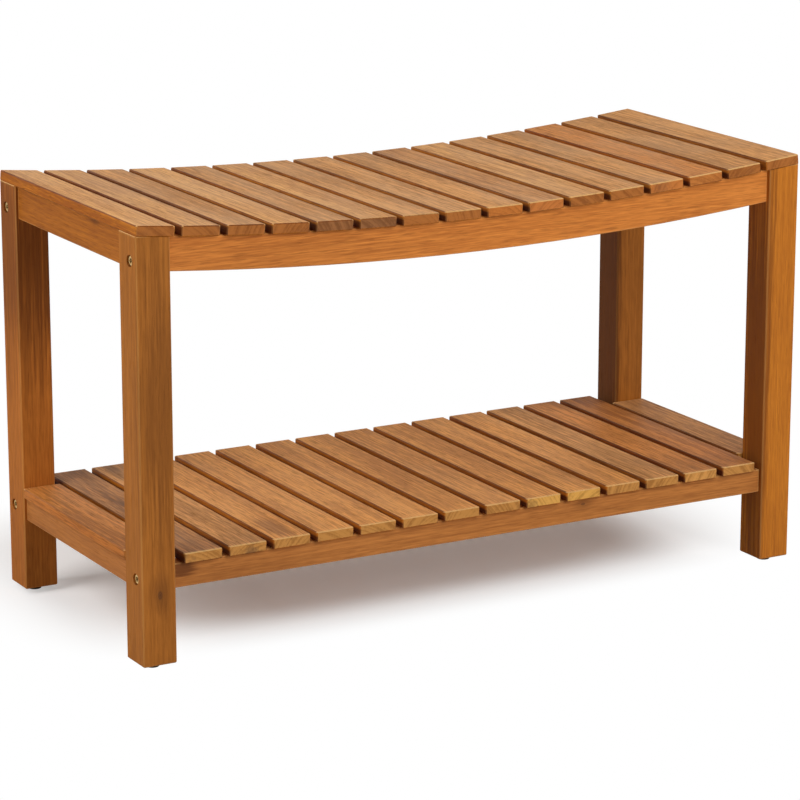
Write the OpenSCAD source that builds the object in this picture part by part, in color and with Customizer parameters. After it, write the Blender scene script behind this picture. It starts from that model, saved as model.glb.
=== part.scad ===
// Two-tier slatted shower bench with a bowed seat and a shelf near the floor.
// X runs along the bench, Y from front to rear, Z up. The origin lies on the floor,
// under the middle of the seat. The front is at -Y and the left end at -X.

/* [Overall] */
// Length over the outer faces of the legs
bench_len = 800; // [700:1:1000]
// Depth over the front and rear faces of the legs
bench_depth = 342; // [280:1:420]
// Height of the seat's top at mid length
seat_mid_h = 444; // [360:1:540]
// How much higher the seat is at its ends than at mid length
seat_rise = 21; // [8:0.5:32]
// Height of the shelf's top
shelf_h = 121; // [80:1:180]

/* [Slats] */
// Number of slats in the seat, and in the shelf
slat_count = 16; // [12:1:18]
// Thickness of a slat
slat_t = 11; // [8:0.5:16]
// Gap between two slats of the seat
slat_gap = 7.5; // [4:0.5:12]
// Gap between a short end slat of the shelf and the long slat beside it
shelf_end_gap = 5; // [2:0.5:12]
// Least gap between the shelf's outermost long slats and the legs
long_slat_leg_gap = 2; // [1:0.5:8]
// Gap between a short end slat and the leg at each of its ends
short_slat_play = 1; // [0.5:0.5:3]
// Bevel along every arris of a slat
slat_bevel = 1; // [0.5:0.1:2]

/* [Legs and feet] */
// Width of a leg, along the bench
leg_w = 38; // [30:1:46]
// Depth of a leg, front to rear
leg_d = 40; // [33:1:50]
// Bevel along every arris of a leg
leg_bevel = 1.5; // [0.5:0.1:3]
// Diameter of a rubber foot where it meets the leg
foot_d = 16; // [14:1:28]
// Height of a rubber foot
foot_h = 6; // [5:0.5:12]

/* [Rails] */
// Thickness of the long rails, front to rear
rail_t = 18; // [15:1:22]
// Height of the bowed seat rails, and of the upper end rails at their outer face
seat_rail_h = 36; // [30:1:48]
// Height of the shelf rails and of the lower end rails
shelf_rail_h = 26; // [21:1:40]
// How far the long rails stand behind the faces of the legs
rail_setback = 6; // [0:0.5:10]
// Thickness of the end rails, along the bench
end_rail_t = 18; // [15:1:22]
// How far the end rails stand behind the outer faces of the legs
end_setback = 4; // [0:0.5:10]
// Bevel along the long arrises of every rail
rail_bevel = 1; // [0.5:0.1:2]

/* [Bolted joints] */
// Length of a frame bolt under its head
bolt_len = 55; // [50:5:70]
// Diameter of a frame bolt's shank
bolt_d = 6; // [5:1:8]
// Diameter of a frame bolt's head
bolt_head_d = 10; // [9:0.5:13]
// Height of a frame bolt's head
bolt_head_h = 6; // [4:0.5:8]
// Width across the flats of the hexagon socket
bolt_hex = 5; // [4:0.5:6]
// How far the head lies below the face of the leg
bolt_sink = 1.5; // [0.5:0.5:4]
// Height of a bolt above the lower edge of its rail, at the leg
bolt_up = 13; // [10:0.5:16]
// Diameter of a barrel nut
nut_d = 10; // [9:0.5:12]
// Length of a barrel nut
nut_len = 12; // [10:0.5:14]
// How far the end of a bolt passes the middle of its barrel nut
nut_pass = 4.5; // [3.5:0.5:5]

/* [Dowels and screws] */
// Diameter of a wooden dowel
dowel_d = 8; // [6:1:8]
// Length of a wooden dowel
dowel_len = 30; // [24:1:40]
// Depth of a seat rail's dowel below the upper edge of the rail, at the leg
dowel_down = 9; // [7:0.5:12]
// Distance of an end rail's dowels from its upper and lower edges
end_dowel_edge = 6.5; // [6:0.5:8]
// Diameter of a slat screw's shank
screw_d = 4; // [3:0.5:5]
// Diameter of a slat screw's head
screw_head_d = 8; // [7:0.5:9]
// Height of a slat screw's head
screw_head_h = 2.4; // [2:0.2:3.6]
// Wood left above the point of a slat screw
slat_skin = 3; // [1.5:0.5:4]
// Depth of a seat slat screw's head seat above the lower edge of its rail
seat_screw_sink = 14; // [6:0.5:18]
// Depth of a shelf slat screw's head seat above the lower edge of its rail
shelf_screw_sink = 4; // [3:0.5:10]
// Distance of an end slat's screws from the legs
end_screw_inset = 45; // [35:1:70]
// Length of a foot screw under its head
foot_screw_len = 18; // [14:1:25]
// Diameter of a foot screw's shank
foot_screw_d = 3.5; // [3:0.5:4]
// Diameter of a foot screw's head
foot_screw_head_d = 7; // [6:0.5:8]
// Height of a foot screw's head
foot_screw_head_h = 2; // [1.6:0.2:2.6]

/* [Fits] */
// Play round a slat screw, a foot screw, a dowel, a barrel nut or a thread, all round
close_play = 0.1; // [0.05:0.05:0.2]
// Play of a frame bolt's shank in the wood, all round
bolt_play = 0.3; // [0.2:0.1:0.5]
// Play of a frame bolt's head in its counterbore, all round
head_play = 1.25; // [0.5:0.25:1.5]
// Play past the end of a dowel, a bolt, a nut or a screw in a blind hole
end_play = 0.5; // [0.3:0.1:1]
// Wood left between two holes that pass each other
hole_wall = 3; // [2:0.5:5]

/* [Hidden] */
$fn = 48;
arc_fn = 1440;
cut_over = 1;

// Plan of the frame
half_len = bench_len / 2;
half_depth = bench_depth / 2;
leg_x = half_len - leg_w / 2;
leg_y = half_depth - leg_d / 2;
inner_x = half_len - leg_w;
inner_y = half_depth - leg_d;
rail_y = half_depth - rail_setback - rail_t / 2;
end_rail_x = half_len - end_setback - end_rail_t / 2;

// The seat's slats lie on an arc with its lowest point at mid length
seat_r = (half_len * half_len + seat_rise * seat_rise) / (2 * seat_rise);
seat_centre_z = seat_mid_h - slat_t + seat_r;
seat_span = 2 * asin(half_len / seat_r);
slat_w = (seat_r * seat_span * PI / 180 - (slat_count - 1) * slat_gap) / slat_count;
chord_r = sqrt(seat_r * seat_r - slat_w * slat_w / 4);
seat_pitch = (seat_span - 2 * asin(slat_w / 2 / seat_r)) / (slat_count - 1);
last_slat = slat_count - 1;

// Angle of seat slat i, and the height of its underside at x
function seat_angle(i) = (i - last_slat / 2) * seat_pitch;
function seat_under(i, x) =
    seat_centre_z - chord_r * cos(seat_angle(i))
    + (x - chord_r * sin(seat_angle(i))) * tan(seat_angle(i));
// Height of the end slats' underside at x, on either end
function end_under(x) = seat_under(last_slat, abs(x));
// Height of an arc about the seat's centre, of radius r, at x
function arc_z(r, x) = seat_centre_z - sqrt(r * r - x * x);

// The shelf's long slats are spread evenly between its two short end slats
shelf_top_edge = shelf_h - slat_t;
shelf_low_edge = shelf_top_edge - shelf_rail_h;
short_slat_len = 2 * (inner_y - short_slat_play);
first_long_x = -half_len + max(slat_w + shelf_end_gap, leg_w + long_slat_leg_gap) + slat_w / 2;
shelf_pitch = -2 * first_long_x / (slat_count - 3);
function is_end(i) = i == 0 || i == last_slat;
function shelf_x(i) =
    i == 0 ? -half_len + slat_w / 2
    : i == last_slat ? half_len - slat_w / 2
    : first_long_x + (i - 1) * shelf_pitch;

// Upper end rails lie under the end slats of the seat and slope with them
end_rail_face_x = half_len - end_setback;
upper_end_low = end_under(end_rail_face_x) - seat_rail_h;

// Bolts, barrel nuts and dowels of the long rails
bolt_seat = bolt_head_h + bolt_sink;
bolt_bore_d = bolt_d + 2 * bolt_play;
head_bore_d = bolt_head_d + 2 * head_play;
nut_x = half_len - bolt_seat - bolt_len + nut_pass;
seat_bolt_z = arc_z(seat_r + seat_rail_h, inner_x) + bolt_up;
shelf_bolt_z = shelf_low_edge + bolt_up;
seat_dowel_z = arc_z(seat_r, inner_x) - dowel_down;
bolt_points = [for (sx = [-1, 1], sy = [-1, 1], z = [seat_bolt_z, shelf_bolt_z]) [sx, sy, z]];
corner_points = [for (sx = [-1, 1], sy = [-1, 1]) [sx, sy]];

// Dowels of the end rails stop short of the bolts that cross the legs
end_dowel_bite = min(dowel_len / 2, leg_d - rail_setback - rail_t / 2 - bolt_bore_d / 2 - hole_wall);
end_dowel_y = inner_y + end_dowel_bite - dowel_len / 2;
end_dowel_heights = [
    upper_end_low + end_dowel_edge,
    end_under(end_rail_x) - end_dowel_edge,
    shelf_low_edge + end_dowel_edge,
    shelf_top_edge - end_dowel_edge
];

// Slat screws stand upright, in the middle of their rails and clear of the barrel nuts
screw_bite = slat_t - slat_skin;
seat_screw_len = seat_rail_h + screw_bite - seat_screw_sink;
shelf_screw_len = shelf_rail_h + screw_bite - shelf_screw_sink;
screw_head_bore_d = screw_head_d + 0.6;
screw_x_max = nut_x - nut_d / 2 - hole_wall - screw_head_bore_d / 2;
end_screw_y = inner_y - end_screw_inset;
function clear_x(x) = sign(x) * min(abs(x), screw_x_max);
function seat_screw_x(i) =
    is_end(i) ? sign(seat_angle(i)) * end_rail_x : clear_x(chord_r * sin(seat_angle(i)));
function shelf_screw_x(i) = is_end(i) ? sign(shelf_x(i)) * end_rail_x : clear_x(shelf_x(i));
function screw_y(i) = is_end(i) ? end_screw_y : rail_y;
seat_screw_points = [
    for (i = [0:last_slat], s = [-1, 1])
        [seat_screw_x(i), s * screw_y(i), seat_under(i, seat_screw_x(i)) + screw_bite - seat_screw_len]
];
shelf_screw_points = [
    for (i = [0:last_slat], s = [-1, 1])
        [shelf_screw_x(i), s * screw_y(i), shelf_h - slat_skin - shelf_screw_len]
];
// Every slat has two screws, one near the front and one near the rear
function screws_of(points, i) = [points[2 * i], points[2 * i + 1]];

// Colours of the woods, one per tone, and of the fittings
slat_tones = ["#b97a3e", "#a86a33", "#c08448", "#9c6334", "#b3733a"];
leg_tone = "#a4622a";
rail_tone = "#a96a31";
dowel_tone = "#d9b783";
bolt_tone = "#c8a45a";
steel_tone = "#b9bcc0";
rubber_tone = "#1d1c1b";

corners = [
    ["front_left", -1, -1],
    ["front_right", 1, -1],
    ["rear_left", -1, 1],
    ["rear_right", 1, 1]
];
long_sides = [["front", -1], ["rear", 1]];
ends = [["left", -1], ["right", 1]];
function numbered(name, i) = str(name, "_", i < 9 ? "0" : "", i + 1);

// ---- Shared shapes ----

// Rectangle with its four corners cut off
module bevelled_rect(a, b, bevel) {
    polygon([
        [-a / 2 + bevel, -b / 2], [a / 2 - bevel, -b / 2],
        [a / 2, -b / 2 + bevel], [a / 2, b / 2 - bevel],
        [a / 2 - bevel, b / 2], [-a / 2 + bevel, b / 2],
        [-a / 2, b / 2 - bevel], [-a / 2, -b / 2 + bevel]
    ]);
}

// Bar centred on the origin in X and Y and standing on z = 0, bevelled along all twelve arrises
module eased_bar(x, y, z, bevel) {
    translate([0, 0, z / 2])
        intersection() {
            linear_extrude(z, center = true) bevelled_rect(x, y, bevel);
            rotate([90, 0, 0]) linear_extrude(y, center = true) bevelled_rect(x, z, bevel);
            rotate([90, 0, 90]) linear_extrude(x, center = true) bevelled_rect(y, z, bevel);
        }
}

// Bar that butts against a leg at both ends of its Y length, bevelled along its four long arrises
module rail_bar_y(x, y, z, bevel) {
    translate([0, 0, z / 2])
        rotate([90, 0, 0])
            linear_extrude(y, center = true) bevelled_rect(x, z, bevel);
}

// Pieces in the frame of seat slat i: z = 0 is its underside, x = 0 its middle
module on_seat(i) {
    translate([0, 0, seat_centre_z])
        rotate([0, -seat_angle(i), 0])
            translate([0, 0, -chord_r]) children();
}

// The space above the sloping underside of the end slat on side sx
module above_end_slat(sx) {
    reach = [2 * leg_w, 2 * bench_depth, 4 * slat_t];
    on_seat(sx < 0 ? 0 : last_slat)
        translate([-reach[0] / 2, -reach[1] / 2, 0]) cube(reach);
}

// ---- Fittings, each with the seat of its head at z = 0 and its point along +Z ----

module frame_bolt() {
    rim = 0.6;
    socket_depth = bolt_head_h / 2;
    head_r = bolt_head_d / 2;
    shank_r = bolt_d / 2;
    difference() {
        rotate_extrude()
            polygon([
                [0, -bolt_head_h], [head_r - rim, -bolt_head_h],
                [head_r, rim - bolt_head_h], [head_r, 0],
                [shank_r, 0], [shank_r, bolt_len - rim], [shank_r - rim, bolt_len], [0, bolt_len]
            ]);
        translate([0, 0, -bolt_head_h - cut_over])
            cylinder(d = bolt_hex / cos(30), h = socket_depth + cut_over, $fn = 6);
    }
}

module frame_bolt_space() {
    translate([0, 0, -bolt_seat - cut_over]) cylinder(d = head_bore_d, h = bolt_seat + cut_over);
    cylinder(d = bolt_bore_d, h = bolt_len + end_play);
}

// Plain screw with a round head, a cross recess and a pointed end
module wood_screw(d, len, head_d, head_h) {
    point_len = 1.2 * d;
    point_r = 0.2;
    rim = head_h / 3;
    recess = [head_d * 0.5, head_d * 0.13, head_h * 0.55];
    head_r = head_d / 2;
    difference() {
        rotate_extrude()
            polygon([
                [0, -head_h], [head_r - rim, -head_h], [head_r, rim - head_h], [head_r, 0],
                [d / 2, 0], [d / 2, len - point_len], [point_r, len], [0, len]
            ]);
        for (turn = [0, 90])
            rotate([0, 0, turn])
                translate([-recess[0] / 2, -recess[1] / 2, -head_h - cut_over])
                    cube([recess[0], recess[1], recess[2] + cut_over]);
    }
}

// Clear way for a slat screw: bored from below for its head, drilled for its shank
module slat_screw_space(len) {
    bore_depth = seat_rail_h;
    translate([0, 0, -bore_depth]) cylinder(d = screw_head_bore_d, h = bore_depth);
    cylinder(d = screw_d + 2 * close_play, h = len + end_play);
}

// Pin with bevelled ends, centred on the origin along Z
module turned_pin(d, len, bevel) {
    rotate_extrude()
        polygon([
            [0, -len / 2], [d / 2 - bevel, -len / 2], [d / 2, bevel - len / 2],
            [d / 2, len / 2 - bevel], [d / 2 - bevel, len / 2], [0, len / 2]
        ]);
}

module barrel_nut() {
    slot = [2 * nut_d, 1.2, 1.4];
    difference() {
        turned_pin(nut_d, nut_len, 0.5);
        rotate([0, 90, 0]) cylinder(d = bolt_d + 2 * close_play, h = 2 * nut_d, center = true);
        translate([-slot[0] / 2, -slot[1] / 2, nut_len / 2 - slot[2]])
            cube([slot[0], slot[1], slot[2] + cut_over]);
    }
}

module dowel() { turned_pin(dowel_d, dowel_len, 1); }

module dowel_space() {
    cylinder(d = dowel_d + 2 * close_play, h = dowel_len + 2 * end_play, center = true);
}

// ---- Places of the fittings ----

module at_bolts() {
    for (p = bolt_points)
        translate([p[0] * (half_len - bolt_seat), p[1] * rail_y, p[2]])
            rotate([0, -90 * p[0], 0]) children();
}

// The slot of a barrel nut faces the middle of the bench
module at_nuts() {
    for (p = bolt_points)
        translate([p[0] * nut_x, p[1] * rail_y, p[2]])
            rotate([90 * p[1], 0, 0]) children();
}

module at_seat_dowels() {
    for (c = corner_points)
        translate([c[0] * inner_x, c[1] * rail_y, seat_dowel_z])
            rotate([0, 90, 0]) children();
}

module at_end_dowels() {
    for (c = corner_points, z = end_dowel_heights)
        translate([c[0] * end_rail_x, c[1] * end_dowel_y, z])
            rotate([90, 0, 0]) children();
}

module at_points(points) {
    for (p = points) translate(p) children();
}

module at_feet() {
    for (c = corner_points)
        translate([c[0] * leg_x, c[1] * leg_y, foot_h / 2]) children();
}

// Everything that is bored out of the legs and the rails
module bolt_and_dowel_holes() {
    at_bolts() frame_bolt_space();
    at_seat_dowels() dowel_space();
    at_end_dowels() dowel_space();
}

// A barrel nut's hole is blind and opens on the inner face of the rail
module nut_holes() {
    hole_d = nut_d + 2 * close_play;
    to_inner_face = rail_t / 2 + cut_over;
    at_nuts()
        translate([0, 0, -nut_len / 2 - end_play])
            cylinder(d = hole_d, h = nut_len / 2 + end_play + to_inner_face);
}

// ---- Wooden pieces ----

// The top of a leg is cut to the slope of the end slat that lies on it
module leg(sx, sy) {
    blank_h = end_under(half_len) - foot_h + cut_over;
    color(leg_tone)
        difference() {
            translate([sx * leg_x, sy * leg_y, foot_h]) eased_bar(leg_w, leg_d, blank_h, leg_bevel);
            above_end_slat(sx);
            bolt_and_dowel_holes();
            at_feet()
                cylinder(d = foot_screw_d + 2 * close_play, h = foot_screw_len + end_play);
        }
}

// Front and rear rails of the seat follow the arc of its slats
module seat_rail(sy) {
    sweep = seat_span + 1;
    color(rail_tone)
        difference() {
            intersection() {
                translate([0, sy * rail_y, seat_centre_z])
                    rotate([90, 0, 0])
                        rotate([0, 0, -90 - sweep / 2])
                            rotate_extrude(angle = sweep, $fn = arc_fn)
                                translate([seat_r + seat_rail_h / 2, 0])
                                    bevelled_rect(seat_rail_h, rail_t, rail_bevel);
                translate([-inner_x, sy * rail_y - rail_t, 0])
                    cube([2 * inner_x, 2 * rail_t, seat_mid_h + seat_rise]);
            }
            bolt_and_dowel_holes();
            nut_holes();
            at_points(seat_screw_points) slat_screw_space(seat_screw_len);
        }
}

module shelf_rail(sy) {
    color(rail_tone)
        difference() {
            translate([0, sy * rail_y, shelf_low_edge])
                rotate([0, 0, 90]) rail_bar_y(rail_t, 2 * inner_x, shelf_rail_h, rail_bevel);
            bolt_and_dowel_holes();
            nut_holes();
            at_points(shelf_screw_points) slat_screw_space(shelf_screw_len);
        }
}

// The upper end rails slope with the slat above them
module upper_end_rail(sx) {
    blank_h = seat_rail_h + slat_t;
    color(rail_tone)
        difference() {
            translate([sx * end_rail_x, 0, upper_end_low])
                rail_bar_y(end_rail_t, 2 * inner_y, blank_h, rail_bevel);
            above_end_slat(sx);
            bolt_and_dowel_holes();
            at_points(seat_screw_points) slat_screw_space(seat_screw_len);
        }
}

module lower_end_rail(sx) {
    color(rail_tone)
        difference() {
            translate([sx * end_rail_x, 0, shelf_low_edge])
                rail_bar_y(end_rail_t, 2 * inner_y, shelf_rail_h, rail_bevel);
            bolt_and_dowel_holes();
            at_points(shelf_screw_points) slat_screw_space(shelf_screw_len);
        }
}

module seat_slat(i) {
    color(slat_tones[(i * 3 + 1) % len(slat_tones)])
        difference() {
            on_seat(i) eased_bar(slat_w, bench_depth, slat_t, slat_bevel);
            at_points(screws_of(seat_screw_points, i)) slat_screw_space(seat_screw_len);
        }
}

// The two end slats are short and lie between the legs
module shelf_slat(i) {
    color(slat_tones[(i * 2 + 3) % len(slat_tones)])
        difference() {
            translate([shelf_x(i), 0, shelf_top_edge])
                eased_bar(slat_w, is_end(i) ? short_slat_len : bench_depth, slat_t, slat_bevel);
            at_points(screws_of(shelf_screw_points, i)) slat_screw_space(shelf_screw_len);
        }
}

// ---- Feet and fittings in their places ----

module foot(sx, sy) {
    taper = 1;
    recess_d = foot_screw_head_d + 1;
    color(rubber_tone)
        translate([sx * leg_x, sy * leg_y, 0])
            difference() {
                cylinder(d1 = foot_d - 2 * taper, d2 = foot_d, h = foot_h);
                translate([0, 0, -cut_over]) cylinder(d = recess_d, h = foot_h / 2 + cut_over);
                cylinder(d = foot_screw_d + 2 * close_play, h = foot_h + cut_over);
            }
}

module frame_bolts() { color(bolt_tone) at_bolts() frame_bolt(); }

module barrel_nuts() { color(bolt_tone) at_nuts() barrel_nut(); }

module dowels() {
    color(dowel_tone) {
        at_seat_dowels() dowel();
        at_end_dowels() dowel();
    }
}

module slat_screws(points, len) {
    color(steel_tone) at_points(points) wood_screw(screw_d, len, screw_head_d, screw_head_h);
}

module foot_screws() {
    color(steel_tone)
        at_feet() wood_screw(foot_screw_d, foot_screw_len, foot_screw_head_d, foot_screw_head_h);
}

// ---- The bench ----

for (c = corners) {
    leg(c[1], c[2]);
    foot(c[1], c[2]);
}
for (s = long_sides) {
    seat_rail(s[1]);
    shelf_rail(s[1]);
}
for (e = ends) {
    upper_end_rail(e[1]);
    lower_end_rail(e[1]);
}
for (i = [0:last_slat]) {
    seat_slat(i);
    shelf_slat(i);
}
frame_bolts();
barrel_nuts();
dowels();
slat_screws(seat_screw_points, seat_screw_len);  // seat_slat_screws
slat_screws(shelf_screw_points, shelf_screw_len);  // shelf_slat_screws
foot_screws();
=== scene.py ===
# %% [markdown]
# # A two-tier slatted bench for the shower
#
# The bench is a frame of four square posts, joined by rails, with two decks of slats. All
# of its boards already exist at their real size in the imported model, and that model is the
# frame of this scene. So the lesson is about finish: how to light pale oiled teak, how to
# build one wood that runs the right way through every board, and how to make the small
# metal and rubber parts worth a close look.

# %% Load the bench
import math
import bpy
from mathutils import Matrix, Vector


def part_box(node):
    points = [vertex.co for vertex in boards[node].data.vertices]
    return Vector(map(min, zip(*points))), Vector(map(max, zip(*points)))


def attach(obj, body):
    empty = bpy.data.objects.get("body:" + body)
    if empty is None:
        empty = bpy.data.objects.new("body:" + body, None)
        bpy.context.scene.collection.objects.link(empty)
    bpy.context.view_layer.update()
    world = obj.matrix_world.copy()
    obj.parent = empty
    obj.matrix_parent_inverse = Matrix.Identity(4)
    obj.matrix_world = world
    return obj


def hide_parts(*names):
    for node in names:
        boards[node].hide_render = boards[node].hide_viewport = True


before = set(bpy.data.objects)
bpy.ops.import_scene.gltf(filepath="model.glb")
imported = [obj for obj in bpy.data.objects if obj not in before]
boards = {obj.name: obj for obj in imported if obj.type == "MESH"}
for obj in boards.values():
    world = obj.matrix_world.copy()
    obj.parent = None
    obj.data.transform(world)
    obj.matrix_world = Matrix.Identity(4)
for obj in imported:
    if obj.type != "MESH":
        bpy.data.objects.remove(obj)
bpy.context.view_layer.update()

# %% [markdown]
# ## Camera
#
# A product photograph is taken from far away with a long lens, so that near and far legs
# look about as large. The camera is placed the way a photographer would: pick the spot to
# aim at, walk round to the left, rise a little, and step back. A long lens then crops the
# view. It could also be placed by typing six numbers, but steps like these can be read.

# %% Place the camera
aim_point = Vector((-0.008, -0.005, 0.201))
step_back = 3.73
walk_left = math.radians(29.3)
rise = math.radians(14.55)
lens_mm = 152.8
sensor_mm = 36


def direction_to(turn_left, height):
    """The direction from the bench to something that stands this far round and up."""
    flat = math.cos(height)
    return Vector((-math.sin(turn_left) * flat, -math.cos(turn_left) * flat, math.sin(height)))


bpy.ops.object.camera_add(location=aim_point + direction_to(walk_left, rise) * step_back)
camera = bpy.context.object
camera.rotation_euler = (math.pi / 2 - rise, 0, -walk_left)
camera.data.lens = lens_mm
camera.data.sensor_width = sensor_mm
bpy.context.scene.camera = camera
bpy.context.scene.view_settings.view_transform = "Standard"
print("camera", [round(place, 3) for place in camera.location])

# %% [markdown]
# ## Shader helpers
#
# Materials here are node trees, and the same few steps come again and again. Clicking them
# together in the editor works for one material. For more than forty boards it is better to
# give each step a short name. A value can be another node's output or a plain number.

# %% Helpers for single nodes
def add_node(tree, kind, **options):
    """Add a node and set its options, as its header and sidebar would."""
    node = tree.nodes.new(kind)
    for option, choice in options.items():
        setattr(node, option, choice)
    return node


def plug(tree, socket, value):
    """Join a socket to another node's output, or type a plain value into it."""
    if isinstance(value, bpy.types.NodeSocket):
        tree.links.new(value, socket)
    else:
        socket.default_value = value


def plug_all(tree, sockets, values):
    """Fill several sockets: a list fills them in order, a dictionary by name or number."""
    pairs = values.items() if isinstance(values, dict) else enumerate(values)
    for socket, value in pairs:
        plug(tree, sockets[socket], value)


def maths(tree, operation, *values):
    """One Math node."""
    node = add_node(tree, "ShaderNodeMath", operation=operation)
    plug_all(tree, node.inputs, values)
    return node.outputs[0]


def times(tree, first, second):
    """One number times another."""
    return maths(tree, "MULTIPLY", first, second)


def weigh(tree, total, *terms):
    """A weighted sum: a first number, plus each value times its weight."""
    for value, weight in terms:
        total = maths(tree, "MULTIPLY_ADD", value, weight, total)
    return total


def vectors(tree, operation, *values):
    """One Vector Math node. Lengths and dot products come out as a number."""
    node = add_node(tree, "ShaderNodeVectorMath", operation=operation)
    plug_all(tree, node.inputs, values)
    gives_number = operation in ("LENGTH", "DOT_PRODUCT")
    return node.outputs["Value" if gives_number else "Vector"]


def parts(tree, vector):
    """The three numbers of a vector."""
    node = add_node(tree, "ShaderNodeSeparateXYZ")
    plug(tree, node.inputs[0], vector)
    return node.outputs


def vector_from(tree, *numbers):
    """A vector made of three numbers."""
    node = add_node(tree, "ShaderNodeCombineXYZ")
    plug_all(tree, node.inputs, numbers)
    return node.outputs[0]


print("helpers for single nodes")

# %% [markdown]
# ## Colours, noise and finishes
#
# Four more helpers do what painting needs: fade between numbers, mix colours, scatter soft
# blotches, and turn a screen's colour into light. The last three add relief, start a
# material and finish it. What is the same all over a surface is typed into the Principled
# shader itself, so that other programs can read it.

# %% Helpers for whole finishes
def ramp(tree, value, start, end, low=0.0, high=1.0):
    """Go smoothly from low to high while the value goes from start to end."""
    node = add_node(tree, "ShaderNodeMapRange", interpolation_type="SMOOTHSTEP")
    plug_all(tree, node.inputs, (value, start, end, low, high))
    return node.outputs[0]


def blend(tree, amount, first, second, way="MIX"):
    """Mix two colours, or with MULTIPLY tint the first one by the second."""
    node = add_node(tree, "ShaderNodeMix", data_type="RGBA", blend_type=way)
    plug_all(tree, node.inputs, {0: amount, 6: first, 7: second})
    return node.outputs[2]


def noise(tree, place, per_metre, detail=2.0, roughness=0.5, output=0):
    """Soft random blotches. per_metre says how many fit in a metre along each axis."""
    stretched = vectors(tree, "MULTIPLY", place, per_metre)
    node = add_node(tree, "ShaderNodeTexNoise")
    plug_all(tree, node.inputs, {
        "Vector": stretched, "Scale": 1.0, "Detail": detail, "Roughness": roughness,
    })
    return node.outputs[output]


def paint(red, green, blue):
    """A colour as a screen shows it, from 0 to 255, turned into the light it stands for."""
    def to_light(level):
        level = level / 255
        return level / 12.92 if level <= 0.04045 else ((level + 0.055) / 1.055) ** 2.4
    return (to_light(red), to_light(green), to_light(blue), 1.0)


def relief(tree, height, strength, distance):
    """A Bump node, which bends the light as fine hills and hollows would."""
    node = add_node(tree, "ShaderNodeBump")
    plug_all(tree, node.inputs, {"Strength": strength, "Distance": distance, "Height": height})
    return node.outputs[0]


def new_material(name):
    """A new material, and its node tree."""
    material = bpy.data.materials.new(name)
    material.use_nodes = True
    return material, material.node_tree


def cover(tree, colour, roughness, normal, specular=0.5, metallic=0.0):
    """Join a finish to the Principled shader."""
    shader = tree.nodes["Principled BSDF"]
    shader.inputs["Specular IOR Level"].default_value = specular
    shader.inputs["Metallic"].default_value = metallic
    plug_all(tree, shader.inputs, {
        "Base Color": colour, "Roughness": roughness, "Normal": normal,
    })


print("a screen's middle grey is", round(paint(128, 128, 128)[0], 3), "of full light")

# %% [markdown]
# ## Studio
#
# The bench was photographed on a white sweep under large soft lights. A floor disc takes
# the shadow. Outside a rounded box round the bench its look fades to plain white, so that
# no horizon shows, and from below it isn't drawn at all, so that the underside can be
# inspected. The camera sees it as full white with a faint warm glow in its shadow, while
# light that bounces off it meets a light grey.

# %% Floor
floor_radius = 14.0
below_feet = 0.0003
fade_middle = (0.0, 0.16, 0.0)
fade_reach = (0.62, 0.42, 1.0)
white_from = 0.47
white_to = 0.79
full_white = (1.0, 1.0, 1.0, 1.0)
bounce_grey = (0.68, 0.68, 0.68, 1.0)
warm_glow = (1.0, 0.86, 0.74, 1.0)
glow_strength = 0.12

bpy.ops.object.select_all(action="DESELECT")
bpy.ops.mesh.primitive_circle_add(vertices=128, radius=floor_radius, fill_type="NGON",
                                  location=(0, 0, -below_feet))
floor = bpy.context.object
floor.name = "floor"


def mix_shaders(tree, amount, first, second):
    """One Mix Shader node."""
    node = add_node(tree, "ShaderNodeMixShader")
    plug_all(tree, node.inputs, (amount, first, second))
    return node.outputs[0]


def floor_paint():
    """White board that shows the shadow near the bench and plain white further off."""
    material, tree = new_material("white_floor")
    tree.nodes.clear()
    place = add_node(tree, "ShaderNodeTexCoord").outputs["Object"]
    from_middle = vectors(tree, "SUBTRACT", place, fade_middle)
    shares = vectors(tree, "DIVIDE", from_middle, fade_reach)
    squares = vectors(tree, "MULTIPLY", shares, shares)
    rounded_box = maths(tree, "SQRT", vectors(tree, "LENGTH", squares))
    far = ramp(tree, rounded_box, white_from, white_to)
    seen = add_node(tree, "ShaderNodeLightPath").outputs["Is Camera Ray"]
    from_below = add_node(tree, "ShaderNodeNewGeometry").outputs["Backfacing"]

    board = add_node(tree, "ShaderNodeBsdfDiffuse")
    plug(tree, board.inputs["Color"], blend(tree, seen, bounce_grey, full_white))
    glow = add_node(tree, "ShaderNodeEmission")
    plug(tree, glow.inputs["Color"], warm_glow)
    plug(tree, glow.inputs["Strength"], times(tree, seen, glow_strength))
    lit = add_node(tree, "ShaderNodeAddShader")
    plug_all(tree, lit.inputs, (board.outputs[0], glow.outputs[0]))

    plain_white = add_node(tree, "ShaderNodeEmission").outputs[0]
    clear = add_node(tree, "ShaderNodeBsdfTransparent").outputs[0]
    faded = mix_shaders(tree, times(tree, far, seen), lit.outputs[0], plain_white)
    one_sided = mix_shaders(tree, times(tree, from_below, seen), faded, clear)
    output = add_node(tree, "ShaderNodeOutputMaterial")
    plug(tree, output.inputs["Surface"], one_sided)
    return material


floor.data.materials.append(floor_paint())
print("floor", 2 * floor_radius, "m across")

# %% [markdown]
# ## White room
#
# The world is a white room. What the camera and the reflections see of it is full white,
# while the light that it sheds on the bench is much lower and leaves room for the lamps.

# %% World
room_light = 0.12
world = bpy.data.worlds.new("white_room")
world.use_nodes = True
bpy.context.scene.world = world
room = world.node_tree
ray = add_node(room, "ShaderNodeLightPath").outputs
seen = maths(room, "MAXIMUM", ray["Is Camera Ray"], ray["Is Transmission Ray"])
seen = maths(room, "MAXIMUM", seen, ray["Is Glossy Ray"])
plug_all(room, room.nodes["Background"].inputs, {
    "Color": full_white, "Strength": ramp(room, seen, 0.0, 1.0, room_light, 1.0),
})
print("room light", room_light)

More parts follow.
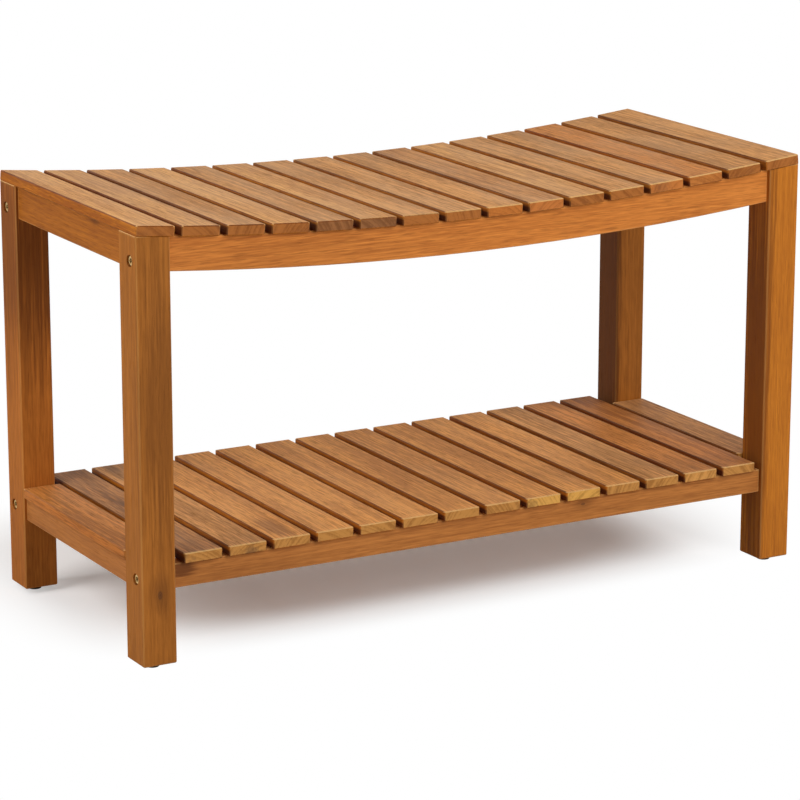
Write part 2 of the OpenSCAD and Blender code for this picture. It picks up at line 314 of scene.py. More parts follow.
# %% [markdown]
# ## Lamps
#
# Four soft boxes light the bench, as in a small studio. A big one stands in front, a little
# to the right, and reaches under the seat to the shelf. One to the left lights the left faces
# of the posts, one to the right fills the far half of the shelf, and a weak one behind keeps
# the back from going dark. Small hard lamps would draw sharp shadows, and a bright sky would
# leave none in the gaps between slats.

# %% Lamps
def soft_lamp(name, turn_left, height, distance, size, watts):
    """A square soft box that looks at the middle of the bench."""
    middle = Vector((0, 0, 0.25))
    towards = direction_to(math.radians(turn_left), math.radians(height))
    bpy.ops.object.light_add(type="AREA", location=middle + towards * distance)
    lamp = bpy.context.object
    lamp.name = name
    lamp.rotation_euler = towards.to_track_quat("Z", "Y").to_euler()
    lamp.data.size = size
    lamp.data.energy = watts


soft_lamp("front_soft_box", turn_left=-8, height=28, distance=2.1, size=1.4, watts=28)
soft_lamp("left_soft_box", turn_left=90, height=28, distance=1.8, size=1.0, watts=16.5)
soft_lamp("right_soft_box", turn_left=-80, height=38, distance=3.0, size=1.2, watts=32)
soft_lamp("back_soft_box", turn_left=165, height=24, distance=2.6, size=1.5, watts=11)

# %% [markdown]
# ## One wood for every board
#
# Teak shows long fibres on the faces of a board and rings on its ends. A flat picture
# wrapped round the board would have to be matched by hand at each edge. A solid texture
# does that by itself: think of the log that the board was sawn from, with its growth
# rings round the pith, and let the board cut through it. The grain then meets at every
# edge, as on the real thing.
#
# The log is one node group. Its first input is the place inside the board, in metres,
# with X along the grain, Y across the broad face and Z through the thickness. The other
# inputs say how this board differs from its neighbours.

# %% Start the teak group
teak = bpy.data.node_groups.new("teak", "ShaderNodeTree")
teak_takes = {
    "NodeSocketVector": ("Place", "Half Size", "Grain", "Pith", "Shift", "Patch", "Patch Size",
                         "Knot"),
    "NodeSocketColor": ("Light", "Dark", "End"),
    "NodeSocketFloat": ("Bow", "Figure", "Fine", "Streaks", "Bleach", "Grey", "Gap Shade",
                        "Side Wear", "Patch Depth", "Knot Size"),
}
for kind, names in teak_takes.items():
    for name in names:
        teak.interface.new_socket(name, in_out="INPUT", socket_type=kind)
given = add_node(teak, "NodeGroupInput").outputs
place = given["Place"]
along, across, through = parts(teak, place)
print("teak takes", len(teak.interface.items_tree), "values")

# %% [markdown]
# ## Grain that flows
#
# A trunk isn't a neat cylinder: its fibres part round every knot, and it wanders as it
# grows. So the place is bent before anything is drawn with it. Near a knot it is pulled in
# across the grain, which spreads the lines round it, and a slow noise then pushes it to and
# fro. A shift picks another stretch of the log for each board.

# %% Bend the grain
trunk_waves = (2.2, 7.0, 7.0)
trunk_sway = (0.0, 0.022, 0.022)

from_knot = vectors(teak, "SUBTRACT", place, given["Knot"])
drawn_out = vectors(teak, "MULTIPLY", from_knot, (0.55, 1.0, 0.0))
knot_reach = maths(teak, "DIVIDE", vectors(teak, "LENGTH", drawn_out), given["Knot Size"])
sideways = vectors(teak, "MULTIPLY", from_knot, (0.0, 1.0, 0.0))
pull = add_node(teak, "ShaderNodeVectorMath", operation="SCALE")
plug_all(teak, pull.inputs, {0: sideways, "Scale": ramp(teak, knot_reach, 0.3, 4.0, -0.65, 0.0)})
flowing = vectors(teak, "ADD", place, pull.outputs[0])
inside_log = vectors(teak, "ADD", flowing, given["Shift"])
wander = noise(teak, inside_log, trunk_waves, output="Color")
wander = vectors(teak, "SUBTRACT", wander, (0.5, 0.5, 0.5))
wander = vectors(teak, "MULTIPLY", wander, trunk_sway)
grown = vectors(teak, "ADD", flowing, wander)
print("grain bent:", len(teak.nodes), "nodes")

# %% [markdown]
# ## Rings and fibres
#
# Growth rings lie round the pith, broad and soft, each closed by a thin dark line. Clouds,
# bands, fibres, threads and pores are noises of five sizes, long along the grain and narrow
# across it. One noise with much detail would be shorter, but then no size could be made
# stronger by itself.

# %% Rings and fibres
ring_noise_per_metre = 190.0
years_per_metre = 240.0

from_pith = vectors(teak, "SUBTRACT", grown, given["Pith"])
from_pith = vectors(teak, "MULTIPLY", from_pith, (0.035, 1.0, 1.0))
radius = vectors(teak, "LENGTH", from_pith)
season = add_node(teak, "ShaderNodeTexNoise", noise_dimensions="1D")
plug_all(teak, season.inputs, {
    "W": times(teak, radius, ring_noise_per_metre), "Scale": 1.0, "Detail": 3.0,
})
rings = season.outputs[0]
year = times(teak, radius, years_per_metre)
year = maths(teak, "ADD", year, times(teak, rings, 1.6))
late_wood = maths(teak, "POWER", maths(teak, "FRACT", year), 5.0)

clouds = noise(teak, inside_log, (4.0, 26.0, 26.0))
bands = noise(teak, inside_log, (3.0, 75.0, 75.0), detail=3.0, roughness=0.6)
fibres = noise(teak, inside_log, (9.0, 330.0, 330.0), detail=3.0, roughness=0.6)
threads = noise(teak, inside_log, (45.0, 640.0, 640.0))
pores = ramp(teak, noise(teak, inside_log, (55.0, 900.0, 900.0), detail=1.0), 0.58, 0.70)
print("rings and fibres:", len(teak.nodes), "nodes")

# %% [markdown]
# ## From light wood to dark
#
# The broad figure and the fine grain are two weighted sums, each with its own strength.
# Together they spread the wood over the board's two colours.

# %% Blend the two colours
figure = weigh(teak, -0.26, (clouds, 0.24), (bands, 0.16), (rings, 0.12), (late_wood, -0.05))
fine = weigh(teak, -0.24, (fibres, 0.22), (threads, 0.26))
spread = weigh(teak, 0.5, (figure, given["Figure"]), (fine, given["Fine"]))
colour = blend(teak, ramp(teak, spread, 0.0, 1.0), given["Dark"], given["Light"])
print("two colours:", len(teak.nodes), "nodes")

# %% [markdown]
# ## Heartwood, pores and a knot
#
# Heartwood is darker than the wood round it. It runs as streaks through many boards, and
# some have one darker patch, whose place is an input: on some boards that patch is
# heartwood, on others it is painted shade. Pores are short dark strokes. A knot is a stain
# in the wood round it, and a dark eye with a few rings.

# %% Darken heartwood, painted shade, pores and knot
heartwood_and_shade_tint = (0.46, 0.41, 0.40, 1.0)
pore_brown = (0.10, 0.035, 0.010, 1.0)
pore_share = 0.065
knot_tint = (0.42, 0.38, 0.36, 1.0)
eye_brown = (0.055, 0.022, 0.010, 1.0)

heart = noise(teak, inside_log, (3.5, 42.0, 42.0), detail=4.0, roughness=0.6)
streak = times(teak, ramp(teak, heart, 0.54, 0.70), given["Streaks"])
from_patch = vectors(teak, "SUBTRACT", grown, given["Patch"])
from_patch = vectors(teak, "DIVIDE", from_patch, given["Patch Size"])
ragged = weigh(teak, -0.8, (fibres, 1.6))
patch_reach = maths(teak, "ADD", ragged, vectors(teak, "LENGTH", from_patch))
# a patch is heartwood on some boards and painted shade on others
in_patch = ramp(teak, patch_reach, 0.35, 1.1, 1.0, 0.0)
shade = maths(teak, "MAXIMUM", streak, times(teak, in_patch, given["Patch Depth"]))
heartwood_and_shade = blend(teak, 1.0, given["Dark"], heartwood_and_shade_tint, "MULTIPLY")
colour = blend(teak, shade, colour, heartwood_and_shade)
pore_depth = times(teak, given["Fine"], pore_share)
colour = blend(teak, times(teak, pores, pore_depth), colour, pore_brown)

stain = weigh(teak, knot_reach, (maths(teak, "SUBTRACT", bands, 0.5), 5.0))
stain = ramp(teak, stain, 1.0, 6.0, 0.55, 0.0)
colour = blend(teak, stain, colour, knot_tint, "MULTIPLY")
eye = ramp(teak, knot_reach, 0.5, 1.25, 1.0, 0.0)
eye_rings = maths(teak, "SINE", times(teak, knot_reach, 11.0))
eye_rings = weigh(teak, 0.56, (eye_rings, 0.16))
colour = blend(teak, times(teak, eye, eye_rings), colour, eye_brown)
print("heartwood and knot:", len(teak.nodes), "nodes")

# %% [markdown]
# ## Years in the wet, and painted shade
#
# Water and light have bleached what looks up. The grey patches are partly weathering and
# partly a painted sheen of the white room in the oil. The sides of the slats keep the deep
# colour of the oil, and painted shade darkens them further, as the gaps between slats lie in
# shade; the bevels get the darkest painted shade. In the gaps the lower part of the walls is
# darker again, also painted shade. The surface normal tells these places apart: its Z is 1
# on a face that looks up, 0 on an upright one and about 0.7 on a bevel.

# %% Bleach the top, and paint shade on the sides and in the gaps
grey_weather_and_sheen_colour = paint(202, 164, 126)
side_oil_and_shade_tint = (0.67, 0.42, 0.08, 1.0)
bevel_shade_tint = (0.50, 0.42, 0.36, 1.0)
gap_shade_tint = (0.30, 0.22, 0.18, 1.0)

normal = add_node(teak, "ShaderNodeNewGeometry").outputs["Normal"]
up = parts(teak, normal)[2]
# grey patches: partly weathering, partly a painted sheen
grey_weather_and_sheen = ramp(teak, noise(teak, inside_log, (6.0, 17.0, 17.0), detail=3.0), 0.40, 0.66)
colour = blend(teak, times(teak, grey_weather_and_sheen, given["Grey"]), colour, grey_weather_and_sheen_colour)
# painted shade: the sides and undersides of the slats are darkened beyond their oiled colour
side_oil_and_shade = times(teak, ramp(teak, up, 0.80, 0.92, 1.0, 0.0), given["Bleach"])
colour = blend(teak, side_oil_and_shade, colour, side_oil_and_shade_tint, "MULTIPLY")
# painted shade: the bevels are darkened most
bevel_painted_shade = times(teak, ramp(teak, up, 0.45, 0.60), side_oil_and_shade)
colour = blend(teak, bevel_painted_shade, colour, bevel_shade_tint, "MULTIPLY")

half_thickness = parts(teak, given["Half Size"])[2]
below_top = maths(teak, "SUBTRACT", half_thickness, through)
# painted shade on the lower part of the gap walls between slats
gap_painted_shade = times(teak, ramp(teak, below_top, 0.003, 0.006), given["Gap Shade"])
gap_painted_shade = times(teak, gap_painted_shade, ramp(teak, up, -0.6, -0.4))
colour = blend(teak, gap_painted_shade, colour, gap_shade_tint, "MULTIPLY")
print("bleached and greyed:", len(teak.nodes), "nodes")

# %% [markdown]
# ## Ends and arrises
#
# On end grain the short fibres drink more oil, and the rings show as arcs. An arris is the
# edge where two faces meet, sanded and then worn pale; its pale line is also a painted
# highlight, strongest where the arris looks up towards the lamps. The second smallest of the
# three distances to the faces says how near a point is to an arris. On a rail that is sawn to
# a curve, the bow is taken off first.

# %% End grain, and arrises pale from wear and a painted highlight
end_tint = (0.68, 0.62, 0.56, 1.0)
end_heartwood = (0.12, 0.06, 0.03, 1.0)
wear_and_highlight_colour = paint(244, 196, 126)

facing = maths(teak, "ABSOLUTE", vectors(teak, "DOT_PRODUCT", normal, given["Grain"]))
end = ramp(teak, facing, 0.74, 0.86)
ring_tone = weigh(teak, times(teak, fibres, 0.5), (rings, 0.9), (late_wood, -0.20),
                  (maths(teak, "SUBTRACT", clouds, 0.5), 0.8))
oiled = ramp(teak, ring_tone, 0.38, 0.82, 1.0, 0.0)
end_colour = blend(teak, oiled, given["End"], end_tint, "MULTIPLY")
end_colour = blend(teak, times(teak, shade, 0.7), end_colour, end_heartwood)
colour = blend(teak, end, colour, end_colour)

sag = times(teak, times(teak, along, along), given["Bow"])
straight = vector_from(teak, along, maths(teak, "SUBTRACT", across, sag), through)
to_faces = vectors(teak, "ABSOLUTE", straight)
to_faces = vectors(teak, "SUBTRACT", given["Half Size"], to_faces)
near_x, near_y, near_z = parts(teak, to_faces)
least = maths(teak, "MINIMUM", near_x, near_y)
most = maths(teak, "MAXIMUM", near_x, near_y)
edge_gap = maths(teak, "MAXIMUM", least, maths(teak, "MINIMUM", most, near_z))
edge_gap = weigh(teak, edge_gap, (fibres, -0.0012))
# pale arrises: partly wear, partly a painted highlight, strongest where the arris looks up
worn_and_highlit = ramp(teak, edge_gap, -0.0002, 0.0015, 1.0, 0.0)
wear_and_highlight_at_end = ramp(teak, up, 0.4, 0.7, given["Side Wear"], 0.65)
wear_and_highlight_along = ramp(teak, up, 0.80, 0.92, given["Side Wear"], 0.20)
worn_and_highlit = times(teak, worn_and_highlit, ramp(teak, near_x, 0.001, 0.005, wear_and_highlight_at_end, wear_and_highlight_along))
colour = blend(teak, worn_and_highlit, colour, wear_and_highlight_colour)
print("ends and arrises:", len(teak.nodes), "nodes")

# %% [markdown]
# ## Satin oil
#
# Oiled teak has a soft sheen, a little duller in the pores and on the ends. The pores are
# also hollows, and the threads between them stand a trace higher. With that, the group is
# complete and hands on a colour, a roughness and a normal.

# %% Sheen and relief
dull = weigh(teak, 0.52, (threads, 0.14), (pores, 0.15), (end, 0.12))
height = weigh(teak, fibres, (threads, 0.5), (pores, -0.8))
surface = relief(teak, height, strength=0.35, distance=0.0003)
for name, kind in (("Colour", "NodeSocketColor"), ("Roughness", "NodeSocketFloat"),
                   ("Normal", "NodeSocketVector")):
    teak.interface.new_socket(name, in_out="OUTPUT", socket_type=kind)
plug_all(teak, add_node(teak, "NodeGroupOutput").inputs, (colour, dull, surface))
print("teak group", len(teak.nodes), "nodes")

# %% [markdown]
# ## Setting a board into the log
#
# Every board needs to tell the log where its own middle is, which way its grain runs and
# which way its broad face looks. A Mapping node can do that: it takes the place in the
# room, turns it into the board's directions and moves the board's middle to zero. The other
# inputs keep their usual values, unless a board asks for its own.

# %% Helpers for boards
far_away = (9, 0, 0)
usual_looks = {
    "bow": 0.0, "figure": 1.6, "fine": 2.4, "streaks": 0.0, "bleach": 0.0, "grey": 0.0,
    "gap_shade": 0.0, "side_wear": 0.15,
    "patch": far_away, "patch_size": (0.1, 0.02, 0.02), "patch_depth": 0.0,
    "knot": far_away, "knot_size": 0.004,
}


def broad_face(name):
    """The direction in which the largest upward face of a board looks."""
    faces = [face for face in boards[name].data.polygons if face.normal.z > 0.5]
    largest = max(faces, key=lambda face: face.area)
    return largest.normal.normalized()


def oil(name, grain, face, light, dark, end, middle=None, half=None, **looks):
    """Give one board its piece of teak. Each look fills the input of the same name."""
    grain = Vector(grain)
    face = Vector(face)
    turn = Matrix((grain, face.cross(grain), face))
    low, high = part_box(name)
    middle = middle or (low + high) / 2
    half = half or Vector([abs(side) for side in turn @ ((high - low) / 2)])

    material, tree = new_material("teak_" + name)
    mapping = add_node(tree, "ShaderNodeMapping")
    plug_all(tree, mapping.inputs, {
        "Vector": add_node(tree, "ShaderNodeTexCoord").outputs["Object"],
        "Location": -(turn @ middle), "Rotation": turn.to_euler(),
    })
    wood = add_node(tree, "ShaderNodeGroup", node_tree=teak)
    looks = {**usual_looks, **looks, "place": mapping.outputs[0], "half_size": half,
             "grain": grain, "light": paint(*light), "dark": paint(*dark), "end": paint(*end)}
    for look, value in looks.items():
        plug(tree, wood.inputs[look.replace("_", " ").title()], value)
    cover(tree, *wood.outputs, specular=0.15)
    boards[name].data.materials[0] = material


print(len(usual_looks), "usual looks")

# %% [markdown]
# ## Tones
#
# The boards come from different logs, so neighbours differ: honey, amber, russet, gold and
# a deep chestnut. Each tone is a light and a dark colour, and the grain runs between the
# two. End grain drank more oil, so it has its own colour on seat, shelf, and posts and rails.

# %% The palette
tones = {
    "honey": ((229, 169, 101), (178, 119, 62)),
    "tan": ((219, 155, 90), (160, 106, 50)),
    "brown": ((209, 146, 84), (148, 95, 48)),
    "amber": ((214, 138, 66), (158, 95, 34)),
    "orange": ((206, 126, 36), (158, 86, 20)),
    "russet": ((200, 128, 62), (150, 88, 38)),
    "walnut": ((194, 132, 74), (132, 86, 46)),
    "chestnut": ((184, 113, 42), (136, 78, 20)),
    "ginger": ((221, 137, 60), (174, 98, 37)),
    "tawny": ((180, 106, 30), (136, 72, 14)),
    "copper": ((198, 118, 44), (148, 81, 20)),
    "gold": ((231, 161, 86), (182, 118, 55)),
}
seat_end = (166, 100, 44)
shelf_end = (190, 132, 66)
post_end = (150, 92, 40)


def seeded(number, salt):
    """A repeatable number between 0 and 1, so that every run cuts the same boards."""
    return math.sin(number * 12.9898 + salt * 78.233) * 43758.5453 % 1.0


def cut_from_log(number):
    """Where the pith lies beside a board, and which stretch of the log it comes from."""
    side = -1 if seeded(number, 1) < 0.5 else 1
    pith = (0.4 - 0.8 * seeded(number, 2), side * (0.02 + 0.05 * seeded(number, 3)),
            -0.02 - 0.05 * seeded(number, 4))
    shift = (10 * seeded(number, 5), 3 * seeded(number, 6), 3 * seeded(number, 7))
    return {"pith": pith, "shift": shift}


def tone(name):
    """The two colours of a tone, by the names that oil() gives them."""
    light, dark = tones[name]
    return {"light": light, "dark": dark}


def patch(place, size, depth):
    """One darker patch: its middle and half its size, in metres, and how dark it is."""
    return {"patch": place, "patch_size": size, "patch_depth": depth}


print(len(tones), "tones of teak")

# %% [markdown]
# ## Slats
#
# All slats have the same section, and the eye tells them apart by their wood alone. Seat
# slats are honey and tan with a browner one here and there, and most shelf slats are gold.
# Marks are listed one by one where they show: dark heartwood on the first shelf slats,
# lighter and darker ends, and patches of painted shade on shelf slats 11 and 13 to 16.
# Random marks would need less typing, but they would never put the dark board where it
# belongs.

# %% Slats
seat_tones = "honey honey tan honey tan honey tan tan tan brown honey tan tan amber tan tan"
shelf_tones = "amber walnut tan gold gold gold gold gold gold gold gold gold tan amber russet brown"
slat_looks = {"figure": 4.6, "fine": 6.4, "streaks": 0.15, "bleach": 1.0, "side_wear": 0.05}
marks = {
    "seat_slat_05": {"end": (146, 94, 52)},
    "seat_slat_06": {"end": (144, 94, 54)},
    "seat_slat_09": {"end": (186, 110, 46)},
    "seat_slat_10": {"end": (188, 112, 52)},
    "seat_slat_13": {
        "end": (190, 114, 52), **patch((-0.168, 0.004, 0), (0.012, 0.014, 0.01), 0.45)},
    "seat_slat_14": {"end": (186, 114, 52)},
    "shelf_slat_01": {"bleach": 0.5, **patch((-0.112, -0.006, 0.005), (0.03, 0.016, 0.02), 0.8)},
    "shelf_slat_02": {"streaks": 0.8},
    "shelf_slat_03": {
        "streaks": 0.7, **patch((-0.15, -0.008, -0.002), (0.075, 0.012, 0.008), 0.8)},
    "shelf_slat_04": {"streaks": 0.4, **patch((-0.13, 0.004, 0.005), (0.045, 0.014, 0.01), 0.6)},
    "shelf_slat_10": {"end": (214, 158, 78),
                      **patch((-0.165, 0.012, -0.003), (0.03, 0.01, 0.008), 0.5)},
    # the patches on shelf slats 11 and 13 to 16 are painted shade
    "shelf_slat_11": {"end": (214, 158, 76), **patch((-0.105, 0, 0), (0.05, 0.05, 0.03), 0.24)},
    "shelf_slat_13": patch((-0.07, 0, 0), (0.09, 0.05, 0.03), 0.22),
    "shelf_slat_14": {"end": (206, 146, 76), **patch((0.01, 0, 0), (0.07, 0.05, 0.03), 0.27)},
    "shelf_slat_15": patch((0.12, 0, 0), (0.07, 0.05, 0.03), 0.27),
    "shelf_slat_16": patch((0.11, 0, 0), (0.07, 0.05, 0.03), 0.30),
}
for deck, deck_tones, end_grain, grey, first_log in (
    ("seat_slat", seat_tones.split(), seat_end, 0.22, 1),
    ("shelf_slat", shelf_tones.split(), shelf_end, 0.10, 41),
):
    last = len(deck_tones) - 1
    for number, wood_tone in enumerate(deck_tones):
        name = f"{deck}_{number + 1:02d}"
        looks = {"end": end_grain, "grey": grey, "gap_shade": 1.0 if 0 < number < last else 0.0,
                 **slat_looks, **marks.get(name, {})}
        oil(name, (0, 1, 0), broad_face(name), **tone(wood_tone),
            **cut_from_log(first_log + number), **looks)
    print(deck, len(deck_tones), "boards oiled")

# %% [markdown]
# ## Posts
#
# On the posts the grain stands upright and the top and bottom are end grain. The front left
# one has a darker streak of heartwood down its front, and low on it a small knot with a
# stain round it. The side of each right-hand post that looks to the left is darkened by
# painted shade, and so is the rear left one near its top, below the seat.

# %% Posts
post_looks = {
    "leg_front_left": ("chestnut", {
        **patch((0.055, -0.006, 0.018), (0.175, 0.034, 0.020), 0.46),
        "knot": (-0.149, -0.001, 0.0), "knot_size": 0.0028}),
    # painted shade down the side that looks to the left
    "leg_front_right": ("orange", patch((0.0, 0.019, 0.008), (0.400, 0.009, 0.032), 0.7)),
    # painted shade near the top, below the seat
    "leg_rear_left": ("copper", {
        **patch((0.150, 0.0, 0.0), (0.160, 0.060, 0.060), 0.75), "fine": 2.8}),
    # painted shade down the side that looks to the left
    "leg_rear_right": ("chestnut", {
        **patch((0.0, 0.019, 0.0), (0.500, 0.008, 0.080), 0.8), "fine": 2.8, "streaks": 0.3}),
}
for log, (leg, (wood_tone, looks)) in enumerate(post_looks.items(), start=80):
    oil(leg, (0, 0, 1), (0, -1, 0), **tone(wood_tone), end=post_end, **cut_from_log(log),
        side_wear=0.16, **looks)
print(len(post_looks), "posts oiled")

# %% [markdown]
# ## Rails
#
# The seat rails are sawn to a curve out of a straight board, so their edges follow the bow
# while the fibres run straight through. The bow is measured from the mesh: how much the
# top edge rises from the middle to the end. The straight rails have none. The left upper
# end rail and the front shelf rail each have a small knot.

# %% Rails
near_middle = 0.03
for log, rail in enumerate(("seat_rail_front", "seat_rail_rear"), start=90):
    low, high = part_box(rail)
    points = [corner.co for corner in boards[rail].data.vertices]
    top_at_middle = max(point.z for point in points if abs(point.x) < near_middle)
    half_height = (top_at_middle - low.z) / 2
    bow = (high.z - top_at_middle) / high.x ** 2
    oil(rail, (1, 0, 0), (0, -1, 0), **tone("ginger"), end=post_end, **cut_from_log(log),
        fine=3.8, **patch((-0.2, -0.004, 0.0), (0.2, 0.03, 0.03), 0.22), bow=bow,
        middle=Vector((0, (low.y + high.y) / 2, low.z + half_height)),
        half=Vector((high.x, half_height, (high.y - low.y) / 2)))
    print(rail, "bow", round(bow, 3), "per metre")

rail_looks = {"end": post_end, "figure": 1.9}
long_rail = {"grain": (1, 0, 0), "face": (0, -1, 0), **rail_looks}
end_left = {"grain": (0, 1, 0), "face": (-1, 0, 0), **rail_looks}
end_right = {"grain": (0, 1, 0), "face": (1, 0, 0), **rail_looks}
straight_rails = {
    "shelf_rail_front": (long_rail, "russet", 95, {
        "fine": 3.2, "streaks": 0.2, "knot": (0.130, 0.006, 0.0), "knot_size": 0.0016,
        **patch((-0.352, 0.003, 0.009), (0.022, 0.014, 0.012), 0.9)}),
    "shelf_rail_rear": (long_rail, "russet", 96, {"fine": 3.2}),
    "upper_end_rail_left": (end_left, "tawny", 100, {
        "fine": 4.0, "streaks": 0.25, "knot": (-0.066, -0.0165, 0.0), "knot_size": 0.0013,
        **patch((-0.062, -0.016, 0.009), (0.024, 0.005, 0.010), 0.35)}),
    "lower_end_rail_left": (end_left, "russet", 101, {}),
    "upper_end_rail_right": (end_right, "tawny", 102, {"fine": 4.0}),
    "lower_end_rail_right": (end_right, "russet", 103, {}),
}
for rail, (lay, wood_tone, log, looks) in straight_rails.items():
    oil(rail, **lay, **tone(wood_tone), **cut_from_log(log), **looks)
print(len(straight_rails), "straight rails oiled")

# %% [markdown]
# ## Turned parts
#
# The bolts, screws, pins and feet are round, so all of them come off a lathe: half of
# the outline is drawn as a line of points beside the Z axis, and the Screw modifier sweeps
# it round. The line starts as a plane that is merged into one point, which is then extruded
# from corner to corner. With a rise per turn the same modifier winds a thread.

# %% Helpers for the lathe
mm = 0.001
merge_distance = 0.001 * mm


def select_only(piece):
    """Make one object the only selected one, and the active one."""
    bpy.ops.object.select_all(action="DESELECT")
    piece.select_set(True)
    bpy.context.view_layer.objects.active = piece


def outline(name, corners, closed=False):
    """Draw half of a turned shape: a list of (distance from the axis, height) in millimetres."""
    points = [Vector((out * mm, 0, up * mm)) for out, up in corners]
    bpy.ops.object.select_all(action="DESELECT")
    bpy.ops.mesh.primitive_plane_add(size=mm)
    line = bpy.context.object
    line.name = name
    bpy.ops.object.mode_set(mode="EDIT")
    bpy.ops.mesh.merge(type="CENTER")
    bpy.ops.transform.translate(value=points[0])
    for before, after in zip(points, points[1:]):
        bpy.ops.mesh.extrude_region_move(TRANSFORM_OT_translate={"value": after - before})
    if closed:
        bpy.ops.mesh.select_all(action="SELECT")
        bpy.ops.mesh.edge_face_add()
        bpy.ops.mesh.delete(type="ONLY_FACE")
    bpy.ops.object.mode_set(mode="OBJECT")
    return line


def turn_round(line, steps, turns=1, rise=0.0):
    """Sweep an outline round the Z axis. A rise, in millimetres per turn, makes a thread."""
    select_only(line)
    sweep = line.modifiers.new("sweep", "SCREW")
    sweep.steps = steps
    sweep.render_steps = steps
    sweep.iterations = turns
    sweep.screw_offset = rise * mm
    bpy.ops.object.modifier_apply(modifier="sweep")
    bpy.ops.object.mode_set(mode="EDIT")
    bpy.ops.mesh.select_all(action="SELECT")
    bpy.ops.mesh.remove_doubles(threshold=merge_distance)
    if rise:
        bpy.ops.mesh.select_all(action="DESELECT")
        bpy.ops.mesh.select_non_manifold()
        bpy.ops.mesh.fill_holes(sides=4)
        bpy.ops.mesh.select_all(action="SELECT")
    bpy.ops.mesh.normals_make_consistent(inside=False)
    bpy.ops.object.mode_set(mode="OBJECT")
    return line


print("lathe ready, doubles merge within", merge_distance, "m")

# %% [markdown]
# ## Cutting and joining
#
# What isn't round, such as a socket or a slot, is cut out with a Boolean modifier. Every
# part is modelled once at the origin, with the seat of its head at zero and its point
# upwards. An attribute then notes where each of its points is, so that its turning marks
# stay round its own axis wherever a copy goes.

# %% Helpers for models
smooth_below = math.radians(32)


def carve(piece, add_cutter, **sizes):
    """Cut a primitive out of a piece with a Boolean modifier, and throw it away."""
    bpy.ops.object.select_all(action="DESELECT")
    add_cutter(**sizes)
    cutter = bpy.context.object
    select_only(piece)
    cut = piece.modifiers.new("cut", "BOOLEAN")
    cut.operation = "DIFFERENCE"
    cut.solver = "EXACT"
    cut.object = cutter
    bpy.ops.object.modifier_apply(modifier="cut")
    select_only(cutter)
    bpy.ops.object.delete()


def join_up(pieces):
    """Make one object of several. A single one stays as it is."""
    select_only(pieces[0])
    for piece in pieces:
        piece.select_set(True)
    if len(pieces) > 1:
        bpy.ops.object.join()
    return bpy.context.object


def finish_model(name, pieces):
    """Join the pieces of a model, smooth its round sides and note where its points are."""
    model = join_up(pieces)
    model.name = name
    bpy.ops.object.shade_smooth_by_angle(angle=smooth_below)
    places = [part for corner in model.data.vertices for part in corner.co]
    made_at = model.data.attributes.new("made_at", "FLOAT_VECTOR", "POINT")
    made_at.data.foreach_set("vector", places)
    model.data.materials.clear()
    print(name, len(model.data.polygons), "faces")
    return model


def throw_away(model):
    """Delete a model once all its copies are in place."""
    select_only(model)
    bpy.ops.object.delete()


print("edges below", round(math.degrees(smooth_below)), "degrees are smoothed")

# %% [markdown]
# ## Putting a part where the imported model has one
#
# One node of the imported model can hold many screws. To find them, the node is copied, its
# loose triangles are merged and it is split into separate solids. The box of each solid says
# where a new part goes. These are then joined, so that they stand for the node as a whole.

# %% Helpers for placing parts
def solids_of(node):
    """The lowest and highest corner of every solid in a node, from left to right."""
    select_only(boards[node])
    bpy.ops.object.duplicate()
    bpy.ops.object.mode_set(mode="EDIT")
    bpy.ops.mesh.select_all(action="SELECT")
    bpy.ops.mesh.remove_doubles(threshold=merge_distance)
    bpy.ops.mesh.separate(type="LOOSE")
    bpy.ops.object.mode_set(mode="OBJECT")
    found = []
    for part in bpy.context.selected_objects:
        sides = [[corner.co[axis] for corner in part.data.vertices] for axis in range(3)]
        found.append((Vector([min(side) for side in sides]), Vector([max(side) for side in sides])))
    bpy.ops.object.delete()
    return sorted(found, key=lambda box: [round(side, 5) for side in box[0]])


def put_in_place(model, node, material, stand):
    """Copy a model to every solid of a node. stand() gives a copy's place and its turn."""
    copies = []
    for low, high in solids_of(node):
        select_only(model)
        bpy.ops.object.duplicate()
        copy = bpy.context.object
        copy.location, copy.rotation_euler = stand(low, high)
        bpy.ops.object.transform_apply(location=True, rotation=True, scale=True)
        copies.append(copy)
    placed = join_up(copies)
    placed.name = model.name + "_in_" + node
    placed.data.materials.append(material)
    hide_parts(node)
    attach(placed, "root")
    print(placed.name, len(copies), "times")


def upright(seat_above_bottom):
    """A part that stands on its head, with its seat this many millimetres up its box."""
    def stand(low, high):
        middle = (low + high) / 2
        return (middle.x, middle.y, low.z + seat_above_bottom * mm), (0, 0, 0)
    return stand


print("screws to place:", len(solids_of("seat_slat_screws")), "under the seat")

# %% [markdown]
# ## Metals
#
# The bolts are steel with a yellow passivated coat that looks like pale brass, and the
# screws are plain zinc. Both were turned, so fine rings run round their axis. In the socket
# and at the root of the thread the metal is darker: partly grime, partly painted shade in
# these hollows. The yellow coat is a thin salt layer that scatters light, so it is only
# partly metallic. A full mirror would show nothing but the dark wall of the counterbore.

# %% Turned metal
grime_and_shade_brown = (0.030, 0.020, 0.012, 1.0)
grime_and_shade_edge = 0.35
turning_marks = (5200.0, 5200.0, 5200.0)
tarnish_spots = (420.0, 420.0, 420.0)


